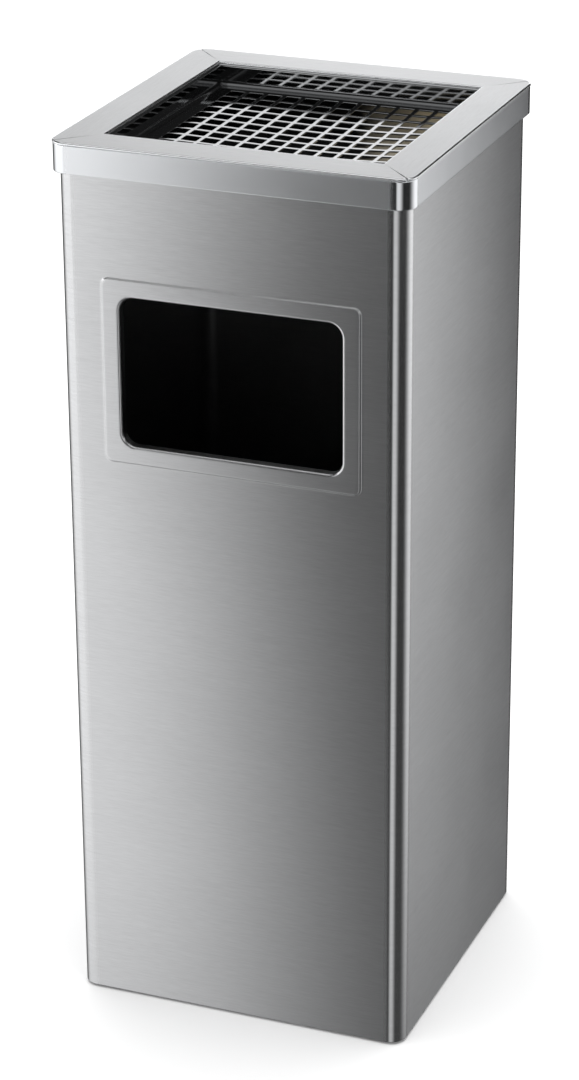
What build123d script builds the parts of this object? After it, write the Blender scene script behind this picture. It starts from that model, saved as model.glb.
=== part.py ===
"""Square stainless-steel ashtray bin: a free-standing litter bin with a perforated stub-out tray on top.

Frame: millimetres, +Z up, the waste opening faces -Y. The origin is on the floor, under the bin's middle.
From the floor up the bin is a base plate on rubber feet inside a wrapped sheet shell, a lift-out liner
bucket with a wire bail, an ash pan whose flange rests on the shell's hem, a perforated tray whose flange
rests on the pan's flange, and a mitred top frame that caps them all and reaches down outside the shell
with its skirt.
"""

from build123d import *

import os
from math import atan, degrees

os.makedirs("parts", exist_ok=True)

# ------------------------------------------------------ driving dimensions, mm
SHEET = 0.8  # stainless sheet of the shell, base, liner, pan and skirt

TOTAL_H = 624.0  # floor to the top of the frame
BODY_W = 242.0  # outside width and depth of the shell
BODY_R = 11.0  # outside radius of its four vertical corners
FLOOR_GAP = 2.0  # the feet hold the shell's lower edge this far off the floor

APERTURE_W = 155.0  # clear waste opening
APERTURE_H = 103.5
APERTURE_R = 9.5
APERTURE_MID_Z = 471.0
APERTURE_EDGE_R = 2.0  # rounded turn from the pressed pad into the flange
APERTURE_FLANGE = 7.0  # how far the opening's edge is turned inwards
PAD_W = 182.0  # pressed pad round the opening
PAD_H = 129.5
PAD_R = 5.5
PAD_RISE = 1.0
PAD_SLOPE_W = 2.2

HEM_T = 1.7  # doubled sheet along the shell's top edge
HEM_H = 10.0
BACK_SEAM_W = 0.5  # groove where the wrapped sheet's two edges meet
BACK_SEAM_D = 0.35

BASE_RECESS = 8.0  # shell's lower edge to the base plate's underside
BASE_GAP = 0.1
BASE_FLANGE = 7.5
PANEL_W = 150.0  # raised stiffening panel in the base plate
PANEL_R = 12.0
PANEL_RISE = 2.0
FOLD_R = 1.2  # outside radius of the base's and the liner floor's folds

FOOT_PITCH = 190.0
FOOT_D = 24.0
FOOT_TOP_D = 20.0
FOOT_EDGE_R = 1.0
FOOT_RECESS_D = 10.0
FOOT_RECESS_H = 4.5
SCREW_D = 4.0
SCREW_GAP = 0.15  # radial clearance of the plain holes on the screws
SCREW_LENGTH = 11.0
SCREW_HEAD_D = 7.6
SCREW_HEAD_H = 2.6
SCREW_HEAD_R = 1.2
SCREW_POINT = 0.4  # chamfer at the threaded end
SCREW_SLOT_L = 4.2
SCREW_SLOT_W = 0.9
SCREW_SLOT_D = 1.4
WASHER_D = 9.0
WASHER_T = 0.8
NUT_FLATS = 7.0
NUT_H = 3.2

LINER_W = 218.0
LINER_R = 10.0
LINER_H = 297.0  # lower edge to the top of the rolled rim
LINER_FLOOR_H = 8.0
CURL_D = 5.2  # outside diameter of the rolled rim
CURL_SLIT_W = 1.2  # the roll stops this far short of the wall
RIM_WIRE_D = 3.4

BAIL_D = 4.0
BAIL_GAP = 0.3  # air between the folded bail and the rim
BAIL_CORNER_R = 14.0
BAIL_HOOK_R = 3.0
BAIL_HEAD_D = 7.0
BAIL_HEAD_T = 1.2
BAIL_HEAD_PLAY = 0.6
BAIL_HOLE_GAP = 0.15  # radial clearance of the ears' holes on the bail
EAR_W = 24.0
EAR_T = 1.2
EAR_R = 4.0
EAR_BELOW_RIM = 22.0
EAR_ABOVE_BAIL = 5.0
RIVET_D = 4.0
RIVET_GAP = 0.05
RIVET_HEAD_D = 7.0
RIVET_HEAD_H = 1.2
RIVET_HEAD_R = 0.7
RIVET_PITCH = 12.0
RIVET_ABOVE_EAR_END = 7.0

PAN_INSIDE_W = 194.0  # between the ash pan's walls
PAN_DEPTH = 42.0  # top of the frame to the pan's floor
PAN_FLANGE_W = 245.2
PAN_FOLD_R = 2.3

TAB_W = 26.0  # locating tabs under the pan's flange
TAB_DROP = 12.0
TAB_LEG = 8.0
TAB_T = 1.0
TAB_PLAY = 0.5

TRAY_INSIDE_W = 188.0  # between the perforated tray's walls
TRAY_DEPTH = 16.0  # top of the frame to the tray's floor
TRAY_SHEET = 1.0
TRAY_FLANGE_W = 212.0
TRAY_FOLD_R = 4.5
TRAY_RIM_R = 1.6
HOLE_COUNT = 12  # along each side
HOLE_PITCH = 13.8
HOLE_W = 10.8
HOLE_R = 0.7

FRAME_W = 250.0  # outside width and depth of the top frame
FRAME_R = 12.0
FRAME_T = 1.5
FRAME_OPENING = 191.5  # clear square inside the four mitred strips
FRAME_EDGE_R = 0.9
SEAM_W = 0.4  # dressed weld groove along each mitre
SEAM_D = 0.25

SKIRT_BOTTOM = 21.0  # top of the frame to the skirt's lower edge
SKIRT_INSET = 0.4  # skirt's face behind the strips' outer edge
SKIRT_FOLD_R = 1.2
SKIRT_FLANGE = 8.0
SKIRT_HEM_H = 5.0

# ------------------------------------------------------ levels and widths that follow from them
FRAME_UNDER_Z = TOTAL_H - FRAME_T
TRAY_UNDER_Z = FRAME_UNDER_Z - TRAY_SHEET  # underside of the tray's flange
SHELL_TOP_Z = TRAY_UNDER_Z - SHEET  # underside of the pan's flange
SHELL_H = SHELL_TOP_Z - FLOOR_GAP
INSIDE_W = BODY_W - 2 * SHEET
BASE_UNDER_Z = FLOOR_GAP + BASE_RECESS
BASE_TOP_Z = BASE_UNDER_Z + SHEET
CURL_Z = BASE_TOP_Z + LINER_H - CURL_D / 2
CURL_MID = LINER_W / 2 + CURL_D / 2 - SHEET  # centre line of the rolled rim
CURL_PATH_R = LINER_R + CURL_MID - LINER_W / 2
BAIL_Z = CURL_Z + CURL_D / 2 + BAIL_GAP + BAIL_D / 2
LINER_FACE = LINER_W / 2 - SHEET  # inner face of the liner's walls
EAR_BOTTOM_Z = CURL_Z + CURL_D / 2 - EAR_BELOW_RIM
EAR_TOP_Z = BAIL_Z + EAR_ABOVE_BAIL
RIVET_Z = EAR_BOTTOM_Z + RIVET_ABOVE_EAR_END
SKIRT_W = FRAME_W - 2 * SKIRT_INSET
SKIRT_R = FRAME_R - SKIRT_INSET
SCREW_HEAD_Z = FOOT_RECESS_H - SCREW_HEAD_H
FRONT = Plane(origin=(0, -BODY_W / 2, APERTURE_MID_Z), x_dir=(1, 0, 0), z_dir=(0, -1, 0))
SIDES = {"right": 0, "back": 90, "left": 180, "front": 270}  # turn about Z of a piece drawn on the +X side


def save(builder, name):
    """Label a finished piece and write it as one STEP file."""
    builder.part.label = name
    export_step(builder.part, f"parts/{name}.step")


def upright(turn, offset=0.0):
    """Vertical plane across the +X direction turned about Z, with its own x along the side and y up."""
    return Plane.XY.rotated((0, 0, turn)) * Plane(origin=(offset, 0, 0), x_dir=(0, 1, 0), z_dir=(1, 0, 0))


def foot_grid():
    """The four foot positions."""
    return GridLocations(FOOT_PITCH, FOOT_PITCH, 2, 2)


# ------------------------------------------------------ shell: one wrapped sheet with a hemmed top
with BuildPart() as body_shell:
    with BuildSketch(Plane.XY.offset(FLOOR_GAP)):
        RectangleRounded(BODY_W, BODY_W, BODY_R)
        RectangleRounded(INSIDE_W, INSIDE_W, BODY_R - SHEET, mode=Mode.SUBTRACT)
    extrude(amount=SHELL_H)
    with BuildSketch(Plane.XY.offset(SHELL_TOP_Z - HEM_H)):
        RectangleRounded(BODY_W - SHEET, BODY_W - SHEET, BODY_R - SHEET / 2)
        RectangleRounded(BODY_W - 2 * HEM_T, BODY_W - 2 * HEM_T, BODY_R - HEM_T, mode=Mode.SUBTRACT)
    extrude(amount=HEM_H)

    # The pad stands proud of the front, and its back is hollow by the same amount.
    pad_taper = degrees(atan(PAD_SLOPE_W / PAD_RISE))
    with BuildSketch(FRONT):
        RectangleRounded(PAD_W, PAD_H, PAD_R)
    extrude(amount=PAD_RISE, taper=pad_taper)
    with BuildSketch(FRONT.offset(-SHEET)):
        RectangleRounded(PAD_W, PAD_H, PAD_R)
    extrude(amount=PAD_RISE, taper=pad_taper, mode=Mode.SUBTRACT)

    # The opening's edge turns inwards as a short flange.
    with BuildSketch(FRONT.offset(PAD_RISE)):
        RectangleRounded(APERTURE_W + 2 * SHEET, APERTURE_H + 2 * SHEET, APERTURE_R + SHEET)
    extrude(amount=-APERTURE_FLANGE)
    with BuildSketch(FRONT.offset(PAD_RISE)):
        RectangleRounded(APERTURE_W, APERTURE_H, APERTURE_R)
    extrude(amount=-2 * APERTURE_FLANGE, mode=Mode.SUBTRACT)
    pad_face = body_shell.faces().filter_by(Axis.Y).sort_by(Axis.Y)[0]
    fillet(pad_face.inner_wires()[0].edges(), APERTURE_EDGE_R)

    # The sheet's two edges meet in a shallow groove down the middle of the back.
    with Locations((0, BODY_W / 2, FLOOR_GAP + SHELL_H / 2)):
        Box(BACK_SEAM_W, 2 * BACK_SEAM_D, SHELL_H, mode=Mode.SUBTRACT)
save(body_shell, "body_shell")


# ------------------------------------------------------ base plate: pressed pan, flange down
with BuildPart() as base_plate:
    base_w = INSIDE_W - 2 * BASE_GAP
    base_r = BODY_R - SHEET - BASE_GAP
    with BuildSketch(Plane.XY.offset(BASE_TOP_Z - BASE_FLANGE)):
        RectangleRounded(base_w, base_w, base_r)
    extrude(amount=BASE_FLANGE)
    fillet(base_plate.faces().sort_by(Axis.Z)[-1].edges(), FOLD_R)
    with BuildSketch(Plane.XY.offset(BASE_TOP_Z - BASE_FLANGE)):
        RectangleRounded(base_w - 2 * SHEET, base_w - 2 * SHEET, base_r - SHEET)
    extrude(amount=BASE_FLANGE - SHEET, mode=Mode.SUBTRACT)
    with BuildSketch(Plane.XY.offset(BASE_TOP_Z)):
        RectangleRounded(PANEL_W, PANEL_W, PANEL_R)
    extrude(amount=PANEL_RISE, taper=45)
    with BuildSketch(Plane.XY.offset(BASE_UNDER_Z)):
        RectangleRounded(PANEL_W, PANEL_W, PANEL_R)
    extrude(amount=PANEL_RISE, taper=45, mode=Mode.SUBTRACT)
    with BuildSketch(Plane.XY.offset(BASE_TOP_Z)):
        with foot_grid():
            Circle(SCREW_D / 2 + SCREW_GAP)
    extrude(amount=-2 * SHEET, mode=Mode.SUBTRACT)
save(base_plate, "base_plate")


# ------------------------------------------------------ feet, each held by a screw, washer and nut
FOOT_PLACES = {"front_left": (-1, -1), "front_right": (1, -1), "back_left": (-1, 1), "back_right": (1, 1)}
for place, (side_x, side_y) in FOOT_PLACES.items():
    standing = (Align.CENTER, Align.CENTER, Align.MIN)
    with BuildPart() as foot:
        with Locations((side_x * FOOT_PITCH / 2, side_y * FOOT_PITCH / 2, 0)):
            Cone(FOOT_D / 2, FOOT_TOP_D / 2, BASE_UNDER_Z, align=standing)
            fillet(foot.faces().sort_by(Axis.Z)[0].edges(), FOOT_EDGE_R)
            Cylinder(SCREW_D / 2 + SCREW_GAP, BASE_UNDER_Z, align=standing, mode=Mode.SUBTRACT)
            Cylinder(FOOT_RECESS_D / 2, FOOT_RECESS_H, align=standing, mode=Mode.SUBTRACT)
    save(foot, f"foot_{place}")

with BuildPart() as foot_screws:
    with BuildSketch(Plane.XY.offset(SCREW_HEAD_Z)):
        with foot_grid():
            Circle(SCREW_HEAD_D / 2)
    extrude(amount=SCREW_HEAD_H)
    fillet(foot_screws.faces().filter_by(Axis.Z).group_by(Axis.Z)[0].edges(), SCREW_HEAD_R)
    with BuildSketch(Plane.XY.offset(FOOT_RECESS_H)):
        with foot_grid():
            Circle(SCREW_D / 2)
    extrude(amount=SCREW_LENGTH)
    chamfer(foot_screws.faces().filter_by(Axis.Z).group_by(Axis.Z)[-1].edges(), SCREW_POINT)
    with BuildSketch(Plane.XY.offset(SCREW_HEAD_Z)):
        with foot_grid():
            Rectangle(SCREW_SLOT_L, SCREW_SLOT_W)
            Rectangle(SCREW_SLOT_W, SCREW_SLOT_L)
    extrude(amount=SCREW_SLOT_D, mode=Mode.SUBTRACT)
save(foot_screws, "foot_screws")

with BuildPart() as foot_washers:
    with BuildSketch(Plane.XY.offset(BASE_TOP_Z)):
        with foot_grid():
            Circle(WASHER_D / 2)
            Circle(SCREW_D / 2 + SCREW_GAP, mode=Mode.SUBTRACT)
    extrude(amount=WASHER_T)
save(foot_washers, "foot_washers")

with BuildPart() as foot_nuts:
    with BuildSketch(Plane.XY.offset(BASE_TOP_Z + WASHER_T)):
        with foot_grid():
            RegularPolygon(NUT_FLATS / 2, 6, major_radius=False)
            Circle(SCREW_D / 2, mode=Mode.SUBTRACT)
    extrude(amount=NUT_H)
save(foot_nuts, "foot_nuts")


# ------------------------------------------------------ liner bucket with a wired, rolled rim
rim_outline = RectangleRounded(2 * CURL_MID, 2 * CURL_MID, CURL_PATH_R, mode=Mode.PRIVATE)
rim_path = rim_outline.wire().moved(Location((0, 0, CURL_Z)))
RIM_SECTION = Plane(origin=rim_path @ 0, x_dir=Vector(0, 0, 1).cross(rim_path % 0), z_dir=rim_path % 0)

rivet_spots = [(-RIVET_PITCH / 2, RIVET_Z), (RIVET_PITCH / 2, RIVET_Z)]

with BuildPart() as liner_wall:
    with BuildSketch(Plane.XY.offset(BASE_TOP_Z)):
        RectangleRounded(LINER_W, LINER_W, LINER_R)
        RectangleRounded(LINER_W - 2 * SHEET, LINER_W - 2 * SHEET, LINER_R - SHEET, mode=Mode.SUBTRACT)
    extrude(amount=LINER_H - CURL_D / 2)
    with BuildSketch(RIM_SECTION):
        Circle(CURL_D / 2)
        Circle(CURL_D / 2 - SHEET, mode=Mode.SUBTRACT)
        with Locations((CURL_D / 2 - SHEET, 0)):
            Rectangle(CURL_SLIT_W, CURL_D, align=(Align.MAX, Align.MAX), mode=Mode.SUBTRACT)
    sweep(path=rim_path)
    with BuildSketch(Plane.YZ):
        with Locations(*rivet_spots):
            Circle(RIVET_D / 2 + RIVET_GAP)
    extrude(amount=LINER_W, both=True, mode=Mode.SUBTRACT)
save(liner_wall, "liner_wall")

with BuildPart() as liner_rim_wire:
    with BuildSketch(RIM_SECTION):
        Circle(RIM_WIRE_D / 2)
    sweep(path=rim_path)
save(liner_rim_wire, "liner_rim_wire")

with BuildPart() as liner_bottom:
    bottom_w = 2 * LINER_FACE - 2 * BASE_GAP
    bottom_r = LINER_R - SHEET - BASE_GAP
    with BuildSketch(Plane.XY.offset(BASE_TOP_Z)):
        RectangleRounded(bottom_w, bottom_w, bottom_r)
    extrude(amount=LINER_FLOOR_H)
    fillet(liner_bottom.faces().sort_by(Axis.Z)[-1].edges(), FOLD_R)
    with BuildSketch(Plane.XY.offset(BASE_TOP_Z)):
        RectangleRounded(bottom_w - 2 * SHEET, bottom_w - 2 * SHEET, bottom_r - SHEET)
    extrude(amount=LINER_FLOOR_H - SHEET, mode=Mode.SUBTRACT)
save(liner_bottom, "liner_bottom")


# ------------------------------------------------------ bail, its two ears and their rivets
with BuildPart() as liner_handle:
    hook_end = LINER_FACE - EAR_T - BAIL_HEAD_PLAY - BAIL_HEAD_T
    with BuildLine(Plane.XY.offset(BAIL_Z)):
        FilletPolyline(
            (-hook_end, 0), (-CURL_MID, 0), (-CURL_MID, -CURL_MID),
            (CURL_MID, -CURL_MID), (CURL_MID, 0), (hook_end, 0),
            radius=[BAIL_HOOK_R, BAIL_CORNER_R, BAIL_CORNER_R, BAIL_HOOK_R],
        )
    with BuildSketch(Plane(origin=(-hook_end, 0, BAIL_Z), z_dir=(-1, 0, 0))):
        Circle(BAIL_D / 2)
    sweep()
    for side in (-1, 1):
        with BuildSketch(Plane.YZ.offset(side * hook_end)):
            with Locations((0, BAIL_Z)):
                Circle(BAIL_HEAD_D / 2)
        extrude(amount=-side * BAIL_HEAD_T)
save(liner_handle, "liner_handle")

for place, side in (("right", 1), ("left", -1)):
    with BuildPart() as ear:
        with BuildSketch(Plane.YZ.offset(side * LINER_FACE)):
            with Locations((0, (EAR_BOTTOM_Z + EAR_TOP_Z) / 2)):
                RectangleRounded(EAR_W, EAR_TOP_Z - EAR_BOTTOM_Z, EAR_R)
            with Locations((0, BAIL_Z)):
                Circle(BAIL_D / 2 + BAIL_HOLE_GAP, mode=Mode.SUBTRACT)
            with Locations(*rivet_spots):
                Circle(RIVET_D / 2 + RIVET_GAP, mode=Mode.SUBTRACT)
        extrude(amount=-side * EAR_T)
    save(ear, f"handle_ear_{place}")

with BuildPart() as ear_rivets:
    for side in (-1, 1):
        outer_head = (LINER_W / 2, RIVET_HEAD_H, RIVET_HEAD_D)
        shank = (LINER_W / 2, -SHEET - EAR_T, RIVET_D)
        inner_head = (LINER_FACE - EAR_T, -RIVET_HEAD_H, RIVET_HEAD_D)
        for start, length, diameter in (outer_head, shank, inner_head):
            with BuildSketch(Plane.YZ.offset(side * start)):
                with Locations(*rivet_spots):
                    Circle(diameter / 2)
            extrude(amount=side * length)
    for head_face in (LINER_W / 2 + RIVET_HEAD_H, LINER_FACE - EAR_T - RIVET_HEAD_H):
        for side in (-1, 1):
            near, far = side * head_face - RIVET_GAP, side * head_face + RIVET_GAP
            fillet(ear_rivets.edges().filter_by_position(Axis.X, near, far), RIVET_HEAD_R)
save(ear_rivets, "ear_rivets")


# ------------------------------------------------------ ash pan: folded sheet, hung by its flange
with BuildPart() as ash_pan:
    pan_outside_w = PAN_INSIDE_W + 2 * SHEET
    pan_under_z = TOTAL_H - PAN_DEPTH - SHEET
    with BuildSketch(Plane.XY.offset(pan_under_z)):
        Rectangle(pan_outside_w, pan_outside_w)
    extrude(amount=TRAY_UNDER_Z - pan_under_z)
    fillet(ash_pan.faces().sort_by(Axis.Z)[0].edges(), PAN_FOLD_R)
    offset(amount=-SHEET, openings=ash_pan.faces().sort_by(Axis.Z)[-1])
    with BuildSketch(Plane.XY.offset(SHELL_TOP_Z)):
        RectangleRounded(PAN_FLANGE_W, PAN_FLANGE_W, SKIRT_R - SHEET)
        Rectangle(PAN_INSIDE_W, PAN_INSIDE_W, mode=Mode.SUBTRACT)
    extrude(amount=SHEET)
save(ash_pan, "ash_pan")

tab_face = BODY_W / 2 - HEM_T - TAB_PLAY
for place, turn in SIDES.items():
    with BuildPart() as tab:
        with BuildSketch(upright(turn, tab_face)):
            with Locations((0, SHELL_TOP_Z)):
                Rectangle(TAB_W, TAB_DROP, align=(Align.CENTER, Align.MAX))
        extrude(amount=-TAB_T)
        with BuildSketch(upright(turn, tab_face)):
            with Locations((0, SHELL_TOP_Z)):
                Rectangle(TAB_W, TAB_T, align=(Align.CENTER, Align.MAX))
        extrude(amount=-TAB_LEG)
    save(tab, f"pan_tab_{place}")


# ------------------------------------------------------ perforated tray: the stub-out surface
with BuildPart() as stub_tray:
    tray_outside_w = TRAY_INSIDE_W + 2 * TRAY_SHEET
    tray_under_z = TOTAL_H - TRAY_DEPTH - TRAY_SHEET
    with BuildSketch(Plane.XY.offset(tray_under_z)):
        Rectangle(tray_outside_w, tray_outside_w)
    extrude(amount=FRAME_UNDER_Z - tray_under_z)
    fillet(stub_tray.faces().sort_by(Axis.Z)[0].edges(), TRAY_FOLD_R)
    offset(amount=-TRAY_SHEET, openings=stub_tray.faces().sort_by(Axis.Z)[-1])
    with BuildSketch(Plane.XY.offset(TRAY_UNDER_Z)):
        Rectangle(TRAY_FLANGE_W, TRAY_FLANGE_W)
        Rectangle(TRAY_INSIDE_W, TRAY_INSIDE_W, mode=Mode.SUBTRACT)
    extrude(amount=TRAY_SHEET)
    fillet(stub_tray.faces().sort_by(Axis.Z)[-1].inner_wires()[0].edges(), TRAY_RIM_R)
    with BuildSketch(Plane.XY.offset(TOTAL_H - TRAY_DEPTH)):
        with GridLocations(HOLE_PITCH, HOLE_PITCH, HOLE_COUNT, HOLE_COUNT):
            RectangleRounded(HOLE_W, HOLE_W, HOLE_R)
    extrude(amount=-2 * TRAY_SHEET, mode=Mode.SUBTRACT)
save(stub_tray, "stub_tray")


# ------------------------------------------------------ top frame: four mitred strips on a skirt
for place, turn in SIDES.items():
    with BuildPart() as strip:
        with BuildSketch(Plane.XY.offset(FRAME_UNDER_Z)):
            RectangleRounded(FRAME_W, FRAME_W, FRAME_R)
            Rectangle(FRAME_OPENING, FRAME_OPENING, mode=Mode.SUBTRACT)
        extrude(amount=FRAME_T)
        top_face = strip.faces().sort_by(Axis.Z)[-1]
        fillet(top_face.edges(), FRAME_EDGE_R)
        with BuildSketch(Plane.XY.offset(FRAME_UNDER_Z).rotated((0, 0, turn))):
            Polygon((0, 0), (FRAME_W, -FRAME_W), (FRAME_W, FRAME_W), align=None)
        extrude(amount=FRAME_T, mode=Mode.INTERSECT)
        mitres = [Location((0, 0, TOTAL_H), (0, 0, turn + corner)) for corner in (-45, 45)]
        with Locations(*mitres):
            Box(2 * FRAME_W, SEAM_W, 2 * SEAM_D, mode=Mode.SUBTRACT)
    save(strip, f"frame_{place}")

with BuildPart() as frame_skirt:
    skirt_z = TOTAL_H - SKIRT_BOTTOM
    inner_w = SKIRT_W - 2 * SHEET
    with BuildSketch(Plane.XY.offset(skirt_z)):
        RectangleRounded(SKIRT_W, SKIRT_W, SKIRT_R)
    extrude(amount=FRAME_UNDER_Z - skirt_z)
    fillet(frame_skirt.faces().sort_by(Axis.Z)[-1].edges(), SKIRT_FOLD_R)
    with BuildSketch(Plane.XY.offset(skirt_z)):
        RectangleRounded(inner_w, inner_w, SKIRT_R - SHEET)
    extrude(amount=FRAME_UNDER_Z - SHEET - skirt_z, mode=Mode.SUBTRACT)
    with BuildSketch(Plane.XY.offset(FRAME_UNDER_Z)):
        Rectangle(inner_w - 2 * SKIRT_FLANGE, inner_w - 2 * SKIRT_FLANGE)
    extrude(amount=-SHEET, mode=Mode.SUBTRACT)
    with BuildSketch(Plane.XY.offset(skirt_z)):
        RectangleRounded(inner_w, inner_w, SKIRT_R - SHEET)
        RectangleRounded(inner_w - 2 * SHEET, inner_w - 2 * SHEET, SKIRT_R - 2 * SHEET, mode=Mode.SUBTRACT)
    extrude(amount=SKIRT_HEM_H)
save(frame_skirt, "frame_skirt")
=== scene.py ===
"""Looks of the square stainless ashtray bin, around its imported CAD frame. Metres, +Z up, front at -Y."""

import math
from collections import namedtuple

import bmesh
import bpy
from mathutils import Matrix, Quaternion, Vector


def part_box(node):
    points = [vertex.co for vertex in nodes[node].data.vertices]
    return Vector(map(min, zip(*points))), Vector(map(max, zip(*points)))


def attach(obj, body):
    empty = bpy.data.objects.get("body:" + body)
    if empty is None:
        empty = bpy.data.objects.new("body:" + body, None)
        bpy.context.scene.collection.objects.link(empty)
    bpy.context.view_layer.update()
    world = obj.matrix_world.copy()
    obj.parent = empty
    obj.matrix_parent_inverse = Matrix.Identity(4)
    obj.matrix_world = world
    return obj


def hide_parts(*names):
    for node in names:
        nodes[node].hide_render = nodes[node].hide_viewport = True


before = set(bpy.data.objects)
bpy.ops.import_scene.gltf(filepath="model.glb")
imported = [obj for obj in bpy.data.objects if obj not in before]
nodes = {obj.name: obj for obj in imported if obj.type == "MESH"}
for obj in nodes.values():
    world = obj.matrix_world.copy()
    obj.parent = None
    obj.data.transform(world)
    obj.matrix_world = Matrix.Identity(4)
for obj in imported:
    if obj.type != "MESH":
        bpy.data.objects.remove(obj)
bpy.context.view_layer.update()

MM = 0.001
scene = bpy.context.scene

# ---------------------------------------------------------------------------------------- camera
CAMERA_PLACE = Vector((0.800, -2.028, 1.239))
CAMERA_YAW = 0.3790  # radians to the left of +Y
CAMERA_PITCH = 0.4010  # below the horizon
CAMERA_ROLL = -0.0065
CAMERA_LENS, CAMERA_SENSOR = 113.2, 36.0  # focal length and sensor width, millimetres


def make_camera():
    """The viewing angle: from the front right, looking down."""
    data = bpy.data.cameras.new("camera")
    data.lens = CAMERA_LENS
    data.sensor_width = CAMERA_SENSOR
    camera = bpy.data.objects.new("camera", data)
    scene.collection.objects.link(camera)
    aim = Vector((-math.sin(CAMERA_YAW) * math.cos(CAMERA_PITCH),
                  math.cos(CAMERA_YAW) * math.cos(CAMERA_PITCH),
                  -math.sin(CAMERA_PITCH)))
    camera.rotation_mode = "QUATERNION"
    camera.rotation_quaternion = aim.to_track_quat("-Z", "Y") @ Quaternion((0, 0, 1), CAMERA_ROLL)
    camera.location = CAMERA_PLACE
    scene.camera = camera


# ---------------------------------------------------------------------------------------- studio
TENT_RADIUS = 0.75
TENT_LEVELS = (-1.6, -0.9, -0.75, -0.6, -0.45, -0.3, -0.15, 0.1, 0.3, 0.45, 0.62)
TENT_COLUMNS = 240
TENT_TINT = (0.985, 0.99, 1.0, 1)
TENT_BASE, BASE_FALL = 0.05, 1.3  # the tent between its banners at floor level, and its fall per metre
PIT_START, PIT_FULL, PIT_SHARE = -0.15, -0.9, 0.3  # heights between which the tent darkens, and what is left

# A banner is an upright bright band on the tent. It is full from its first to its last angle, in degrees
# from the front towards +X, and fades over some degrees before and after. Its strength is the one at floor
# level, with a relative rise per metre of height, and its last edge leans by some degrees per metre.
Banner = namedtuple("Banner", "first last before after strength rise lean")
LEAST_RISE = 0.35  # share of its strength that a banner keeps however far down
BANNERS = (
    Banner(-70.0, -30.6, before=42.0, after=21.0, strength=0.92, rise=0.28, lean=-10.0),
    Banner(15.0, 21.0, before=13.0, after=24.0, strength=0.60, rise=0.24, lean=0.0),
    Banner(120.0, 144.6, before=50.0, after=7.0, strength=0.66, rise=1.20, lean=2.5),
    Banner(188.0, 222.0, before=16.0, after=20.0, strength=0.80, rise=0.0, lean=0.0),
)

DOME_RADIUS = 3.0
FINE_ROWS = [10 + 0.75 * row for row in range(20)]  # degrees above the tent's edge, where the strips look
DOME_ROWS = [0, 6] + FINE_ROWS + [28, 36, 40, 44, 48, 52, 60, 68, 76, 84, 89.6]
DOME_BASE = 0.035
# A dome banner is full up to the elevation fade and gone at end, both in degrees. The two climb by lean
# degrees per degree of angle past the banner's middle.
DomeBanner = namedtuple("DomeBanner", "first last before after strength fade end lean")
DOME_BANNERS = (
    DomeBanner(-70.0, -24.5, before=25.0, after=11.0, strength=1.90, fade=14.0, end=15.6, lean=0.0),
    DomeBanner(40.0, 140.0, before=14.0, after=14.0, strength=0.75, fade=20.0, end=30.0, lean=0.0),
    DomeBanner(182.0, 195.0, before=12.0, after=42.0, strength=1.48, fade=17.8, end=20.2, lean=0.06),
    DomeBanner(-6.0, 6.0, before=6.0, after=8.0, strength=0.60, fade=20.0, end=30.0, lean=0.0),
    DomeBanner(245.0, 285.0, before=8.0, after=10.0, strength=0.70, fade=20.0, end=30.0, lean=0.0),
)
ROOF_START, ROOF_FULL = 42.0, 56.0  # elevations between which the lit roof begins
ROOF_BACK, ROOF_FRONT = 0.90, 0.80
ROOF_TURN = 0.15  # half the width, as a cosine, of the change from the roof's front to its back

PAPER_SHADE = 0.97
FLOOR_HALF = 12.0
ROOM_STRENGTH = 1.04
LAMP_PLACE = (0.0, 0.3, 3.4)
LAMP_SIZE, LAMP_POWER = 2.6, 60.0


def smooth_step(value, start, end):
    """0 up to start, 1 from end, smooth in between."""
    t = min(max((value - start) / (end - start), 0.0), 1.0)
    return t * t * (3.0 - 2.0 * t)


def turned(angle, start):
    """Degrees from start to angle the short way round, -180 to 180."""
    return (angle - start + 180.0) % 360.0 - 180.0


def banner_share(angle, banner, shift=0.0):
    """How much of a banner shows in one direction, 0 to 1, with its last edge shifted by some degrees."""
    rising = smooth_step(turned(angle, banner.first), -banner.before, 0.0)
    return rising * (1.0 - smooth_step(turned(angle, banner.last + shift), 0.0, banner.after))


def tent_glow(angle, height):
    """Brightness of the tent's wall."""
    glow = TENT_BASE * (1.0 - BASE_FALL * height)
    for banner in BANNERS:
        share = banner_share(angle, banner, banner.lean * height)
        glow += share * banner.strength * max(LEAST_RISE, 1.0 + banner.rise * height)
    return glow * (1.0 - (1.0 - PIT_SHARE) * smooth_step(-height, -PIT_START, -PIT_FULL))


def dome_glow(angle, elevation):
    """Brightness of the dome over the tent: banners low down, a dark belt above them, and a lit roof."""
    backwards = -math.cos(math.radians(angle)) * math.cos(math.radians(elevation))
    roof = ROOF_FRONT + (ROOF_BACK - ROOF_FRONT) * smooth_step(backwards, -ROOF_TURN, ROOF_TURN)
    glow = DOME_BASE + roof * smooth_step(elevation, ROOF_START, ROOF_FULL)
    for banner in DOME_BANNERS:
        climb = banner.lean * turned(angle, (banner.first + banner.last) / 2)
        below = 1.0 - smooth_step(elevation, banner.fade + climb, banner.end + climb)
        glow += banner_share(angle, banner) * banner.strength * below
    return glow


def tent_material():
    """Light as strong as the mesh's own glow values, left out of direct light sampling."""
    material = bpy.data.materials.new("tent_light")
    material.use_nodes = True
    tree = material.node_tree
    tree.nodes.clear()
    attribute = tree.nodes.new("ShaderNodeAttribute")
    attribute.attribute_name = "glow"
    emission = tree.nodes.new("ShaderNodeEmission")
    emission.inputs["Color"].default_value = TENT_TINT
    material.cycles.emission_sampling = "NONE"
    output = tree.nodes.new("ShaderNodeOutputMaterial")
    tree.links.new(attribute.outputs["Fac"], emission.inputs["Strength"])
    tree.links.new(emission.outputs[0], output.inputs[0])
    return material


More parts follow.
